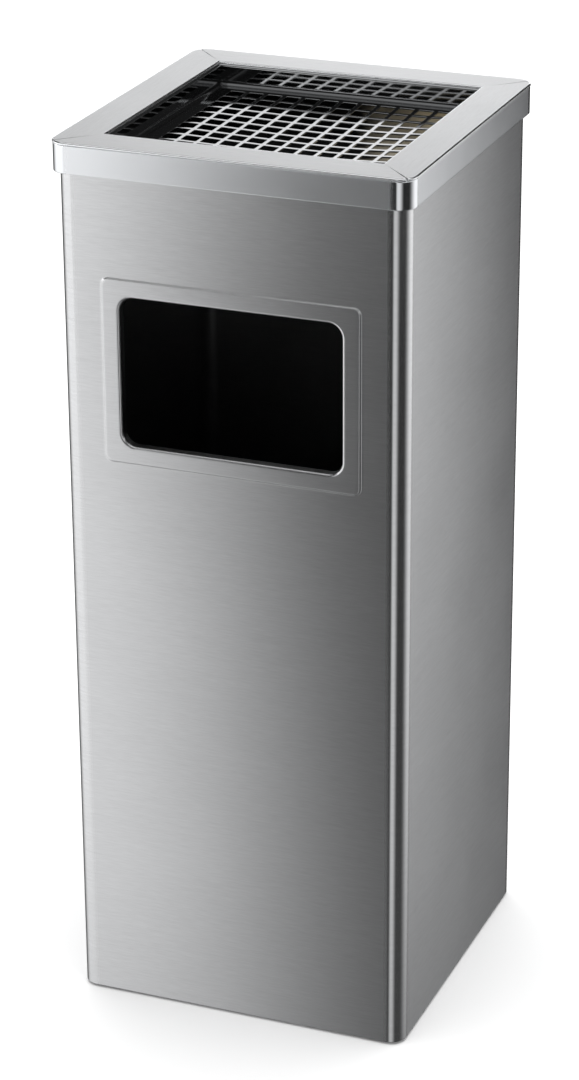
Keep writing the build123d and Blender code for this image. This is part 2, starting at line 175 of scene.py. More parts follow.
def make_tent():
    """A round light tent under a wide dome, with soft bright and dark bands, seen only by reflections."""
    verts, faces, glow = [], [], []
    rows = [(TENT_RADIUS, level, None) for level in TENT_LEVELS]
    for elevation in DOME_ROWS:
        rise = math.radians(elevation)
        rows.append((DOME_RADIUS * math.cos(rise), TENT_LEVELS[-1] + DOME_RADIUS * math.sin(rise), elevation))
    for radius, level, elevation in rows:
        for column in range(TENT_COLUMNS):
            angle = 360.0 * column / TENT_COLUMNS
            turn = math.radians(angle)
            verts.append((radius * math.sin(turn), -radius * math.cos(turn), level))
            glow.append(tent_glow(angle, level) if elevation is None else dome_glow(angle, elevation))
    for row in range(len(rows) - 1):
        for column in range(TENT_COLUMNS):
            here, there = row * TENT_COLUMNS + column, row * TENT_COLUMNS + (column + 1) % TENT_COLUMNS
            faces.append((here, here + TENT_COLUMNS, there + TENT_COLUMNS, there))
    mesh = bpy.data.meshes.new("light_tent")
    mesh.from_pydata(verts, [], faces)
    layer = mesh.attributes.new("glow", "FLOAT", "POINT")
    layer.data.foreach_set("value", glow)
    tent = bpy.data.objects.new("light_tent", mesh)
    scene.collection.objects.link(tent)
    mesh.materials.append(tent_material())
    tent.visible_camera = False
    tent.visible_shadow = False
    tent.visible_diffuse = False


def make_floor():
    """A plain pale floor that reflections don't show, as if the bin were cut out on white."""
    mesh = bpy.data.meshes.new("floor")
    corners = [(x * FLOOR_HALF, y * FLOOR_HALF, 0) for x, y in ((-1, -1), (1, -1), (1, 1), (-1, 1))]
    mesh.from_pydata(corners, [], [(0, 1, 2, 3)])
    floor = bpy.data.objects.new("floor", mesh)
    scene.collection.objects.link(floor)
    material = bpy.data.materials.new("floor_paper")
    material.use_nodes = True
    shader = material.node_tree.nodes["Principled BSDF"]
    shader.inputs["Base Color"].default_value = (PAPER_SHADE, PAPER_SHADE, PAPER_SHADE, 1)
    shader.inputs["Roughness"].default_value = 0.9
    shader.inputs["Specular IOR Level"].default_value = 0.0
    mesh.materials.append(material)
    floor.visible_glossy = False


def make_lamp():
    """A square soft light overhead, aimed at the bin's foot; camera and reflections don't see it."""
    data = bpy.data.lights.new("top_light", "AREA")
    data.size = LAMP_SIZE
    data.energy = LAMP_POWER
    lamp = bpy.data.objects.new("top_light", data)
    lamp.location = LAMP_PLACE
    lamp.rotation_mode = "QUATERNION"
    lamp.rotation_quaternion = (Vector() - Vector(LAMP_PLACE)).to_track_quat("-Z", "Y")
    lamp.visible_camera = False
    lamp.visible_glossy = False
    scene.collection.objects.link(lamp)


def make_world():
    """An even white room that the reflections don't see: the tent is what they show."""
    world = bpy.data.worlds.new("studio")
    scene.world = world
    world.use_nodes = True
    background = world.node_tree.nodes["Background"]
    background.inputs["Color"].default_value = (1, 1, 1, 1)
    background.inputs["Strength"].default_value = ROOM_STRENGTH
    world.cycles_visibility.glossy = False


make_camera()
make_world()
make_floor()
make_tent()
make_lamp()
scene.view_settings.view_transform = "Standard"


# ---------------------------------------------------------------------------------------- materials
def new_material(name):
    """A material with its Principled shader."""
    material = bpy.data.materials.new(name)
    material.use_nodes = True
    return material, material.node_tree, material.node_tree.nodes["Principled BSDF"]


def stretched_noise(tree, scale, detail, seed=0.0):
    """Noise in the piece's own space, with scale cells per metre along x, y and z."""
    place = tree.nodes.new("ShaderNodeTexCoord")
    mapping = tree.nodes.new("ShaderNodeMapping")
    mapping.inputs["Scale"].default_value = scale
    mapping.inputs["Location"].default_value = (seed, seed, seed)
    noise = tree.nodes.new("ShaderNodeTexNoise")
    noise.inputs["Scale"].default_value = 1.0
    noise.inputs["Detail"].default_value = detail
    tree.links.new(place.outputs["Object"], mapping.inputs["Vector"])
    tree.links.new(mapping.outputs[0], noise.inputs["Vector"])
    return noise.outputs["Fac"]


def spread(tree, value, low, high, first=0.3, last=0.7):
    """Maps a noise value from first-last onto low-high."""
    node = tree.nodes.new("ShaderNodeMapRange")
    node.inputs["From Min"].default_value = first
    node.inputs["From Max"].default_value = last
    node.inputs["To Min"].default_value = low
    node.inputs["To Max"].default_value = high
    tree.links.new(value, node.inputs["Value"])
    return node.outputs["Result"]


def mean(tree, first, second, share):
    """Blend of two values, with share of the second."""
    node = tree.nodes.new("ShaderNodeMix")
    node.inputs["Factor"].default_value = share
    tree.links.new(first, node.inputs["A"])
    tree.links.new(second, node.inputs["B"])
    return node.outputs["Result"]


def tint(tree, value, dark, light):
    """Colours a 0-1 value between two tints."""
    node = tree.nodes.new("ShaderNodeMix")
    node.data_type = "RGBA"
    node.inputs[6].default_value = (*dark, 1)
    node.inputs[7].default_value = (*light, 1)
    tree.links.new(value, node.inputs["Factor"])
    return node.outputs[2]


def bump(tree, shader, value, distance):
    """Raises the surface by the noise value times distance."""
    node = tree.nodes.new("ShaderNodeBump")
    node.inputs["Distance"].default_value = distance
    node.inputs["Strength"].default_value = 1.0
    tree.links.new(value, node.inputs["Height"])
    tree.links.new(node.outputs[0], shader.inputs["Normal"])


def smear_across(tree, shader, smear):
    """Smears reflections up and down, across brushing or buffing that runs level round the piece."""
    shader.inputs["Anisotropic"].default_value = smear
    shader.inputs["Anisotropic Rotation"].default_value = 0.25
    tangent = tree.nodes.new("ShaderNodeTangent")
    tangent.direction_type = "RADIAL"
    tangent.axis = "Z"
    tree.links.new(tangent.outputs[0], shader.inputs["Tangent"])


def grey(shade, cool):
    """A metal grey, slightly bluer as cool rises above 1."""
    return (shade, shade * (1 + (cool - 1) * 0.5), shade * cool)


def own_place(tree):
    """The outputs X, Y and Z of a point's place in the piece's own space."""
    place = tree.nodes.new("ShaderNodeTexCoord")
    axes = tree.nodes.new("ShaderNodeSeparateXYZ")
    tree.links.new(place.outputs["Object"], axes.inputs[0])
    return axes.outputs


def corner_share(tree, band):
    """0 on the flats and 1 at the four upright corners, by where the smaller of |x| and |y| is in band."""
    axes = own_place(tree)
    smaller = tree.nodes.new("ShaderNodeMath")
    smaller.operation = "MINIMUM"
    for slot, axis in enumerate("XY"):
        size = tree.nodes.new("ShaderNodeMath")
        size.operation = "ABSOLUTE"
        tree.links.new(axes[axis], size.inputs[0])
        tree.links.new(size.outputs[0], smaller.inputs[slot])
    return spread(tree, smaller.outputs[0], 0.0, 1.0, *band)


def buff_corners(tree, gloss, corners):
    """Lowers a roughness to corners = (roughness, band) along the upright corners."""
    roughness, band = corners
    node = tree.nodes.new("ShaderNodeMix")
    tree.links.new(corner_share(tree, band), node.inputs["Factor"])
    tree.links.new(gloss, node.inputs["A"])
    node.inputs["B"].default_value = roughness
    return node.outputs["Result"]


SKIRT_CORNERS = (0.09, (0.110, 0.1145))  # roughness, and the metres from the middle over which it sets in
BODY_CORNERS = (0.22, (0.1072, 0.1100))
GRAIN_ALONG, GRAIN_ACROSS = 90.0, 1500.0  # noise cells per metre along and across the brushing
GRAIN_DEPTH = 0.000002
GRAIN_SHADES = 0.06  # how much darker and lighter than its mean the grain gets
RIPPLE_DEPTH = 0.000004


def brushed(name, grain_axes, shade=0.78, rough=(0.28, 0.32), smear=0.8, corners=None):
    """Stainless steel with fine straight brushing along grain_axes; reflections smear across the grain."""
    material, tree, shader = new_material(name)
    fine = [GRAIN_ALONG if axis in grain_axes else GRAIN_ACROSS for axis in "xyz"]
    broad = [GRAIN_ALONG / 5 if axis in grain_axes else GRAIN_ACROSS / 4 for axis in "xyz"]
    cloud = stretched_noise(tree, (14, 14, 14), 2.0, 3.0)
    grain = mean(tree, stretched_noise(tree, fine, 3.0), stretched_noise(tree, broad, 3.0, 7.0), 0.3)
    shader.inputs["Metallic"].default_value = 1.0
    dark, light = grey(shade * (1 - GRAIN_SHADES), 1.005), grey(shade * (1 + GRAIN_SHADES), 1.008)
    tree.links.new(tint(tree, spread(tree, grain, 0.0, 1.0), dark, light), shader.inputs["Base Color"])
    gloss = spread(tree, mean(tree, grain, cloud, 0.5), *rough)
    if corners:
        gloss = buff_corners(tree, gloss, corners)
    tree.links.new(gloss, shader.inputs["Roughness"])
    bump(tree, shader, grain, GRAIN_DEPTH)
    if smear:
        smear_across(tree, shader, smear)
    return material


def polished(name, shade, rough, cool=1.02, smear=0.0, corners=None):
    """Polished stainless steel with a faint haze, hairline scratches and buffing ripple."""
    material, tree, shader = new_material(name)
    haze = stretched_noise(tree, (45, 45, 45), 3.0)
    scratch = stretched_noise(tree, (60, 2600, 900), 2.0, 5.0)
    shader.inputs["Metallic"].default_value = 1.0
    colour = tint(tree, haze, grey(shade * 0.97, cool), grey(shade * 1.03, cool))
    tree.links.new(colour, shader.inputs["Base Color"])
    gloss = spread(tree, mean(tree, haze, scratch, 0.35), *rough)
    if corners:
        gloss = buff_corners(tree, gloss, corners)
    tree.links.new(gloss, shader.inputs["Roughness"])
    bump(tree, shader, haze, RIPPLE_DEPTH)
    if smear:
        smear_across(tree, shader, smear)
    return material


PAINTED_LIGHT_SIDE = (0.026, 0.064)  # metres towards +x and the back over which the pan's inside turns from near-black to straw: painted light where light falls through the holes
# near-black for ash soot and for painted shade under the tray; straw for heat-tinted steel and for painted
# light
SOOT_AND_PAINTED_SHADE, STRAW_AND_PAINTED_LIGHT = (0.005, 0.005, 0.005), (0.85, 0.77, 0.61)


def stain_and_painted_light(name):
    """The ash pan's inside: steel darkened by ash and heat and by painted shade under the tray, with painted
    light in straw colour towards +x and the back.
    """
    material, tree, shader = new_material(name)
    patch = stretched_noise(tree, (30, 90, 40), 4.0, 2.0)
    axes = own_place(tree)
    # painted light: the inside turns lighter towards +x and the back, where light falls through the holes
    painted_light_share = spread(tree, mean(tree, axes["X"], axes["Y"], 0.35), 0.0, 1.0, *PAINTED_LIGHT_SIDE)
    patch = mean(tree, patch, painted_light_share, 0.5)
    soot = stretched_noise(tree, (160, 160, 160), 5.0, 9.0)
    shader.inputs["Metallic"].default_value = 0.25
    colour = tint(tree, spread(tree, patch, 0.0, 1.0, 0.38, 0.8), SOOT_AND_PAINTED_SHADE, STRAW_AND_PAINTED_LIGHT)
    tree.links.new(colour, shader.inputs["Base Color"])
    tree.links.new(spread(tree, mean(tree, patch, soot, 0.5), 0.25, 0.55), shader.inputs["Roughness"])
    bump(tree, shader, soot, 0.00003)
    return material


def galvanised(name, shade):
    """Hot-dip galvanised sheet: angular spangle with its own shade and gloss per crystal."""
    material, tree, shader = new_material(name)
    place = tree.nodes.new("ShaderNodeTexCoord")
    crystal = tree.nodes.new("ShaderNodeTexVoronoi")
    crystal.inputs["Scale"].default_value = 110.0
    tree.links.new(place.outputs["Object"], crystal.inputs["Vector"])
    spangle = tree.nodes.new("ShaderNodeSeparateColor")
    tree.links.new(crystal.outputs["Color"], spangle.inputs[0])
    bloom = stretched_noise(tree, (25, 25, 25), 5.0, 4.0)
    shader.inputs["Metallic"].default_value = 1.0
    facet = mean(tree, spangle.outputs[0], bloom, 0.45)
    colour = tint(tree, facet, grey(shade * 0.8, 1.02), grey(shade * 1.2, 1.03))
    tree.links.new(colour, shader.inputs["Base Color"])
    tree.links.new(spread(tree, facet, 0.30, 0.52, 0.1, 0.9), shader.inputs["Roughness"])
    bump(tree, shader, facet, 0.00001)
    return material


def plated(name, shade, rough):
    """Bright zinc plating on turned, pressed or drawn wire parts."""
    material, tree, shader = new_material(name)
    haze = stretched_noise(tree, (300, 300, 300), 4.0)
    shader.inputs["Metallic"].default_value = 1.0
    colour = tint(tree, haze, grey(shade * 0.9, 1.03), grey(shade * 1.1, 1.05))
    tree.links.new(colour, shader.inputs["Base Color"])
    tree.links.new(spread(tree, haze, *rough), shader.inputs["Roughness"])
    bump(tree, shader, haze, 0.00001)
    return material


def rubber(name):
    """Matt black moulded rubber with a dusty bloom."""
    material, tree, shader = new_material(name)
    grit = stretched_noise(tree, (900, 900, 900), 3.0)
    colour = tint(tree, grit, (0.015, 0.015, 0.015), (0.038, 0.038, 0.039))
    tree.links.new(colour, shader.inputs["Base Color"])
    tree.links.new(spread(tree, grit, 0.6, 0.8), shader.inputs["Roughness"])
    bump(tree, shader, grit, 0.00006)
    return material


body_steel = brushed("body_brushed", "xy", corners=BODY_CORNERS)
# painted shade: the shell's inside is darkened to stand for the shade inside the bin, and is also rougher
inner_steel_painted_shade = brushed("body_inside_painted_shade", "xy", shade=0.3, rough=(0.38, 0.5), smear=0.0)
strip_x_steel = brushed("strip_brushed_x", "x", shade=0.96, rough=(0.33, 0.38), smear=0.0)
strip_y_steel = brushed("strip_brushed_y", "y", shade=0.96, rough=(0.33, 0.38), smear=0.0)
edge_steel = polished("strip_edges", 0.92, (0.10, 0.16))
skirt_steel = polished("skirt_polished", 0.95, (0.285, 0.31), 1.03, smear=0.8, corners=SKIRT_CORNERS)
tray_steel = polished("tray_polished", 0.40, (0.03, 0.07))
# painted shade: near-black steel for the dish's fold, standing for the dark that the crease shows
tray_fold_painted_shade = polished("tray_fold_painted_shade", 0.16, (0.10, 0.18))
pan_steel = polished("pan_polished", 0.74, (0.12, 0.2))
# ash stain with painted shade under the tray and painted light towards +x and the back
pan_stain_and_painted_light = stain_and_painted_light("pan_ash_stain_and_painted_light")
zinc_sheet = galvanised("zinc_spangle", 0.55)
zinc_plate = plated("zinc_plate", 0.66, (0.2, 0.34))
black_rubber = rubber("black_rubber")


# ---------------------------------------------------------------------------------------- shapes
CORNER_STEPS = 16
SHARP_ANGLE = math.radians(38)
WELD = 1e-7  # metres between points that become one


def outline(half_x, half_y, radius, notch=None):
    """Rounded rectangle, anticlockwise from the +x end of its (+x, +y) corner, with the same number of points
    whatever its size. notch = (outer half width, inner half width, depth) adds a groove in its +y side."""
    points = []
    for quarter, (sign_x, sign_y) in enumerate(((1, 1), (-1, 1), (-1, -1), (1, -1))):
        for step in range(CORNER_STEPS + 1):
            angle = (quarter + step / CORNER_STEPS) * math.pi / 2
            points.append((sign_x * (half_x - radius) + radius * math.cos(angle),
                           sign_y * (half_y - radius) + radius * math.sin(angle)))
        if quarter == 0 and notch:
            outer, inner, depth = notch
            points += [(outer, half_y), (inner, half_y - depth), (-inner, half_y - depth), (-outer, half_y)]
    return points


def bend(centre, radius, start, end, steps=8):
    """Profile points along an arc, angles in degrees, centre and points as (outwards, up)."""
    angles = [math.radians(start + (end - start) * step / steps) for step in range(steps + 1)]
    return [(centre[0] + radius * math.cos(angle), centre[1] + radius * math.sin(angle)) for angle in angles]


class Shape:
    """Points and faces of one piece, gathered row by row in millimetres. finish is the number of the material
    that the next faces get."""

    def __init__(self):
        self.points, self.faces, self.finishes = [], [], []
        self.finish = 0

    def row(self, points):
        """Adds points and gives their numbers."""
        start = len(self.points)
        self.points += points
        return list(range(start, len(self.points)))

    def face(self, *corners):
        """Adds one face between numbered points."""
        self.faces.append(corners)
        self.finishes.append(self.finish)

    def bridge(self, first, second, closed=True, skip=()):
        """Quads between two rows of equal length, leaving out the numbered ones."""
        for here in range(len(first) if closed else len(first) - 1):
            if here not in skip:
                there = (here + 1) % len(first)
                self.face(first[here], first[there], second[there], second[here])

    def loft(self, rows, closed=False):
        """Bridges each row to the next, and the last to the first if closed."""
        for first, second in zip(rows, rows[1:] + rows[:1] if closed else rows[1:]):
            self.bridge(first, second)

    def sweep(self, profile, half, radius, notch=None, skip=None):
        """Carries a closed profile of (outwards, up) points round a rounded square, less the quads that
        skip(index) names."""
        rows = []
        for out, up in profile:
            ring = outline(half + out, half + out, max(radius + out, 0.0), notch)
            rows.append(self.row([(x, y, up) for x, y in ring]))
        for number, (first, second) in enumerate(zip(rows, rows[1:] + rows[:1])):
            self.bridge(first, second, skip=skip(number) if skip else ())

    def fan(self, ring, corners):
        """Flat faces between a closed ring of four equal corner runs and four outer corners."""
        run = len(ring) // 4
        for quarter in range(4):
            corner, after = corners[quarter], corners[(quarter + 1) % 4]
            for step in range(run - 1):
                self.face(corner, ring[quarter * run + step + 1], ring[quarter * run + step])
            self.face(corner, after, ring[(quarter + 1) % 4 * run], ring[quarter * run + run - 1])

    def make(self, name, body, replaced, finishes):
        """Turns the gathered faces into one object that rides on a body in place of its CAD nodes."""
        mesh = bpy.data.meshes.new(name)
        mesh.from_pydata([(x * MM, y * MM, z * MM) for x, y, z in self.points], [], self.faces)
        for material in finishes:
            mesh.materials.append(material)
        mesh.polygons.foreach_set("material_index", self.finishes)
        work = bmesh.new()
        work.from_mesh(mesh)
        bmesh.ops.remove_doubles(work, verts=work.verts, dist=WELD)
        bmesh.ops.recalc_face_normals(work, faces=work.faces)
        work.to_mesh(mesh)
        work.free()
        mesh.shade_smooth()
        mesh.set_sharp_from_angle(angle=SHARP_ANGLE)
        piece = bpy.data.objects.new(name, mesh)
        scene.collection.objects.link(piece)
        normals = piece.modifiers.new("normals", "WEIGHTED_NORMAL")
        normals.keep_sharp = True
        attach(piece, body)
        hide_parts(*replaced)


def size_mm(node):
    """A CAD node's lowest and highest corner in millimetres."""
    low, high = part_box(node)
    return low / MM, high / MM


# ---------------------------------------------------------------------------------------- shell
SHEET = 0.8
shell_low, shell_high = size_mm("body_shell")
SHELL_HALF = shell_high.x
SHELL_RADIUS = 11.0
APERTURE = (77.5, 51.75, 9.5)  # half width, half height, corner radius
PAD = (91.0, 64.75, 5.5)
APERTURE_MID = 471.0
PAD_RISE = 1.0
PAD_SLOPE = 1.8
PAD_STEPS = 8
PAD_FLATS = (1.5, 1.2)  # flat rings that keep the shading even, outside the pad's slope and inside it
LIP_RADIUS = 2.0
LIP_DEPTH = 7.0
LIP_FLAT = 3.2  # out from the opening, where the pad's flat gives way to the lip
HEM_T, HEM_H = 1.7, 10.0
RAW_EDGE = 0.2
END_BANDS = (1.5, 2.0)  # flat bands along the shell's foot and under its hem
PATCH_MARGIN = 40.0  # flat front left round the pad as its own patch
SEAM = (0.55, 0.22, 0.35)  # outer half width, inner half width and depth


def front_ring(shape, grown, out, base=APERTURE):
    """A ring round the waste opening, grown from base by some millimetres, and out in front of the shell."""
    half_x, half_z, radius = (value + grown for value in base)
    return shape.row([(x, -SHELL_HALF - out, APERTURE_MID + z) for x, z in outline(half_x, half_z, radius)])


def pad_rows(shape, back):
    """Rows from the flat front over the pad's slope and up to the lip, moved back by some millimetres."""
    rows = [front_ring(shape, PAD_FLATS[0], -back, PAD)]
    for step in range(PAD_STEPS + 1):
        share = step / PAD_STEPS
        rows.append(front_ring(shape, -PAD_SLOPE * share, PAD_RISE * smooth_step(share, 0, 1) - back, PAD))
    rows.append(front_ring(shape, -PAD_SLOPE - PAD_FLATS[1], PAD_RISE - back, PAD))
    return rows


def patch_corners(shape, back):
    """The four corners of the front patch, in the order of the rings' corner runs."""
    reach = SHELL_HALF - SHELL_RADIUS
    rise = PAD[1] + PATCH_MARGIN
    sides = ((1, 1), (-1, 1), (-1, -1), (1, -1))
    return shape.row([(x * reach, -SHELL_HALF + back, APERTURE_MID + z * rise) for x, z in sides])


def build_shell():
    """The wrapped sheet: hemmed top, butt seam down the back, and a pressed pad round the opening."""
    shape = Shape()
    low, high = shell_low.z, shell_high.z
    patch_low, patch_high = (APERTURE_MID + side * (PAD[1] + PATCH_MARGIN) for side in (-1, 1))
    outer = [(-RAW_EDGE, low), (0, low + RAW_EDGE), (0, low + END_BANDS[0]), (0, patch_low), (0, patch_high)]
    outer += [(0, high - END_BANDS[1])] + bend((-HEM_T / 2, high - HEM_T / 2), HEM_T / 2, 0, 180)
    hem_end = high - HEM_H - RAW_EDGE
    outer += [(-HEM_T, high - HEM_H), (-HEM_T + RAW_EDGE, hem_end), (-SHEET, hem_end)]
    inner = [(-SHEET, patch_high), (-SHEET, patch_low), (-SHEET, low + RAW_EDGE), (-SHEET + RAW_EDGE, low)]
    front_quad = 3 * (CORNER_STEPS + 1) + 4 - 1  # the third corner run's last point, past the seam's four
    windows = {outer.index((0, patch_low)), len(outer)}
    # faces of the inside that get the painted shade
    painted_shade_from, painted_shade_to = len(outer) - 2, len(outer) + len(inner) - 2

    def leave(number):
        """Leaves the front open for the pad's patch, and sets the darkened, rougher steel for the inside:
        painted shade.
        """
        shape.finish = 1 if painted_shade_from <= number < painted_shade_to else 0
        return (front_quad,) if number in windows else ()

    shape.sweep(outer + inner, SHELL_HALF, SHELL_RADIUS, notch=SEAM, skip=leave)
    shape.finish = 0
    front = pad_rows(shape, 0.0)
    lip = bend((LIP_RADIUS, PAD_RISE - LIP_RADIUS), LIP_RADIUS, 90, 180)
    lip += [(0, PAD_RISE - LIP_DEPTH + RAW_EDGE), (RAW_EDGE, PAD_RISE - LIP_DEPTH)]
    front += [front_ring(shape, grown, out) for grown, out in [(LIP_FLAT, PAD_RISE)] + lip]
    back_lip = [(SHEET - RAW_EDGE, PAD_RISE - LIP_DEPTH), (SHEET, PAD_RISE - LIP_DEPTH + RAW_EDGE)]
    inner_radius = LIP_RADIUS - SHEET
    back_lip += bend((LIP_RADIUS, PAD_RISE - LIP_RADIUS), inner_radius, 180, 90)
    edge = [front_ring(shape, grown, out) for grown, out in back_lip + [(LIP_FLAT, PAD_RISE - SHEET)]]
    behind = pad_rows(shape, SHEET)[::-1]
    shape.fan(front[0], patch_corners(shape, 0.0))
    shape.loft(front + edge[:2])
    # painted shade: the back of the lip and of the pad get the darkened inside steel
    shape.finish = 1
    shape.loft(edge[1:] + behind)
    shape.fan(behind[-1], patch_corners(shape, SHEET))
    shape.make("shell_skin", "body", ["body_shell"], [body_steel, inner_steel_painted_shade])


# ---------------------------------------------------------------------------------------- stub tray
tray_low, tray_high = size_mm("stub_tray")
TRAY_SHEET = 1.0
TRAY_WALL = 94.0  # middle to the inner face of each wall
TRAY_FLOOR = tray_low.z + TRAY_SHEET
TRAY_TOP = tray_high.z
TRAY_FOLD = 3.5  # inside radius of the fold at the walls' feet
TRAY_RIM = 1.6
TRAY_SAG = 2.3
SAG_BIAS = 0.6  # how much deeper the floor has sunk towards +x
HOLES = 12
PITCH = 13.8
HOLE_HALF = 5.4
HOLE_RADIUS = 0.7
FIELD = HOLES * PITCH / 2
FLAT_END = TRAY_WALL - TRAY_FOLD
PLAIN_END = FLAT_END - 1.0  # last row of the floor's plain border, just before the fold
DIE_ROLL = 0.28
BURR = 0.08
PUNCHED = [(DIE_ROLL, 0.0), (DIE_ROLL * 0.45, -DIE_ROLL * 0.12), (DIE_ROLL * 0.12, -DIE_ROLL * 0.45),
           (0.0, -DIE_ROLL), (0.0, -TRAY_SHEET + BURR), (BURR, -TRAY_SHEET)]  # a hole's edge: outwards, up
FOLD_ROWS = 8  # rows of the fold given a near-black steel: painted shade in the crease


def sag(x, y):
    """Height of the perforated floor at a point, below zero where it has been pressed down."""
    over_x, over_y = (max(0.0, 1 - (offset / FIELD) ** 2) for offset in (x, y))
    return -TRAY_SAG * over_x * over_y * (1 + SAG_BIAS * x / FIELD)


def cell_marks():
    """Offsets along one cell's side: its start, one end of the hole's straight, its middle, the other end."""
    straight = HOLE_HALF - HOLE_RADIUS
    return (-PITCH / 2, -straight, 0.0, straight)


def side_marks():
    """Points along one whole side of the field of holes, without its last corner."""
    return [-FIELD + PITCH * (cell + 0.5) + mark for cell in range(HOLES) for mark in cell_marks()]


def square_row(shape, half, level, follow=False):
    """A square row with the field's spacing; follow lets it sink with the floor."""
    points = []
    for turn in range(4):
        for mark in side_marks():
            along, across = mark * half / FIELD, -half
            for _ in range(turn):
                along, across = -across, along
            points.append((along, across, level + (sag(along, across) if follow else 0.0)))
    return shape.row(points)


def cell_row(shape, middle, grown, level, square=False):
    """One row round a hole, or round its cell if square, starting on the front side's left."""
    points = []
    for turn in range(4):
        if square:
            run = [(mark, -PITCH / 2) for mark in cell_marks()]
        else:
            reach, radius = HOLE_HALF + grown, HOLE_RADIUS + grown
            diagonal = reach - radius + radius * math.cos(math.pi / 4)
            run = [(-diagonal, -diagonal), (-reach + radius, -reach), (0.0, -reach), (reach - radius, -reach)]
        for along, across in run:
            for _ in range(turn):
                along, across = -across, along
            x, y = middle[0] + along, middle[1] + across
            points.append((x, y, level + sag(x, y)))
    return shape.row(points)


def build_tray():
    """The folded dish with 144 punched holes in its sagging floor."""
    shape = Shape()
    under = TRAY_FLOOR - TRAY_SHEET
    for column in range(HOLES):
        for line in range(HOLES):
            middle = (-FIELD + PITCH * (column + 0.5), -FIELD + PITCH * (line + 0.5))
            rows = [cell_row(shape, middle, 0, TRAY_FLOOR, True)]
            rows += [cell_row(shape, middle, grown, TRAY_FLOOR + drop) for grown, drop in PUNCHED]
            rows += [cell_row(shape, middle, 0, under, True)]
            shape.loft(rows)
    top = [square_row(shape, half, TRAY_FLOOR, True) for half in (FIELD, PLAIN_END)]
    profile = bend((FLAT_END, TRAY_FLOOR + TRAY_FOLD), TRAY_FOLD, -90, 0)
    profile += bend((TRAY_WALL + TRAY_RIM, TRAY_TOP - TRAY_RIM), TRAY_RIM, 180, 90)
    profile += [(tray_high.x - RAW_EDGE, TRAY_TOP), (tray_high.x, TRAY_TOP - RAW_EDGE)]
    profile += [(tray_high.x, TRAY_TOP - TRAY_SHEET + RAW_EDGE)]
    profile += [(tray_high.x - RAW_EDGE, TRAY_TOP - TRAY_SHEET)]
    profile += bend((TRAY_WALL + TRAY_RIM, TRAY_TOP - TRAY_RIM), TRAY_RIM - TRAY_SHEET, 90, 180)
    profile += bend((FLAT_END, TRAY_FLOOR + TRAY_FOLD), TRAY_FOLD + TRAY_SHEET, 0, -90)
    walls = [square_row(shape, half, level) for half, level in profile]
    bottom = [square_row(shape, half, under, True) for half in (PLAIN_END, FIELD)]
    shape.loft(top + walls[:1])
    # painted shade: the fold's first rows get the near-black steel
    shape.finish = 1
    shape.loft(walls[:FOLD_ROWS])
    shape.finish = 0
    shape.loft(walls[FOLD_ROWS - 1:] + bottom)
    shape.make("perforated_tray", "stub_tray", ["stub_tray"], [tray_steel, tray_fold_painted_shade])


# ---------------------------------------------------------------------------------------- top frame
strip_low, strip_high = size_mm("frame_front")
FRAME_TOP, FRAME_UNDER = strip_high.z, strip_low.z
FRAME_HALF = -strip_low.y
FRAME_RADIUS = 12.0
FRAME_INNER = 95.75
FRAME_EDGE = 1.1
EDGE_STEPS = 6
MITRE_GROOVE = 0.03
GROOVE_DEPTH = 0.8 * MITRE_GROOVE
GROOVE_FOOT = 0.5  # the groove is cut only in what lies higher than this above the underside
STRIP_TURNS = {"front": 2, "right": 3, "back": 0, "left": 1}  # corner run that each strip starts in


def strip_profile():
    """A strip's section as (outwards, up) points: outer edge, top, inner edge and underside."""
    width, edge = FRAME_HALF - FRAME_INNER, FRAME_EDGE
    profile = bend((-edge, FRAME_TOP - edge), edge, 0, 90, EDGE_STEPS)
    profile += [(-width + edge + 1, FRAME_TOP)]
    profile += bend((-width + edge, FRAME_TOP - edge), edge, 90, 180, EDGE_STEPS)
    profile += [(-width, FRAME_UNDER + RAW_EDGE), (-width + RAW_EDGE, FRAME_UNDER)]
    return profile + [(-RAW_EDGE, FRAME_UNDER), (0, FRAME_UNDER + RAW_EDGE)]


def mitred(path, dip):
    """A path whose two ends dip into the fine V along each mitre, with as many points for every path."""
    first, last = path[0], path[-1]
    inwards = (last - first).normalized() * MITRE_GROOVE
    clear = MITRE_GROOVE * 1.5
    middle = [point for point in path[1:-1] if min((point - first).length, (point - last).length) > clear]
    while len(middle) < len(path) - 2:
        half = len(middle) // 2
        middle.insert(half, (middle[half] if middle else (first + last) / 2).copy())
    drop = Vector((0, 0, dip))
    return [first - drop, first + inwards] + middle + [last - inwards, last - drop]


def build_strip(side):
    """One mitred strip, from the middle of one corner to the middle of the next."""
    shape = Shape()
    run = CORNER_STEPS + 1
    start = STRIP_TURNS[side] * run + CORNER_STEPS // 2
    rows = []
    for out, up in strip_profile():
        ring = outline(FRAME_HALF + out, FRAME_HALF + out, max(FRAME_RADIUS + out, 0.0))
        path = [Vector((*ring[(start + step) % len(ring)], up)) for step in range(run)]
        dip = GROOVE_DEPTH if up > FRAME_UNDER + GROOVE_FOOT else 0.0
        rows.append(shape.row([tuple(point) for point in mitred(path, dip)]))
    rounded = [*range(EDGE_STEPS), *range(EDGE_STEPS + 2, 2 * EDGE_STEPS + 2)]
    for number, (here, there) in enumerate(zip(rows, rows[1:] + rows[:1])):
        shape.finish = 1 if number in rounded else 0
        shape.bridge(here, there, closed=False)
    for end in (0, -1):
        shape.face(*[row[end] for row in rows])
    steel = strip_x_steel if side in ("front", "back") else strip_y_steel
    shape.make(f"{side}_strip", "top_frame", [f"frame_{side}"], [steel, edge_steel])


skirt_low, skirt_high = size_mm("frame_skirt")
SKIRT_RADIUS = FRAME_RADIUS - 0.4
SKIRT_FOLD, SKIRT_FLANGE = 1.2, 8.0
SKIRT_HEM_T, SKIRT_HEM_H = 2 * SHEET, 5.0


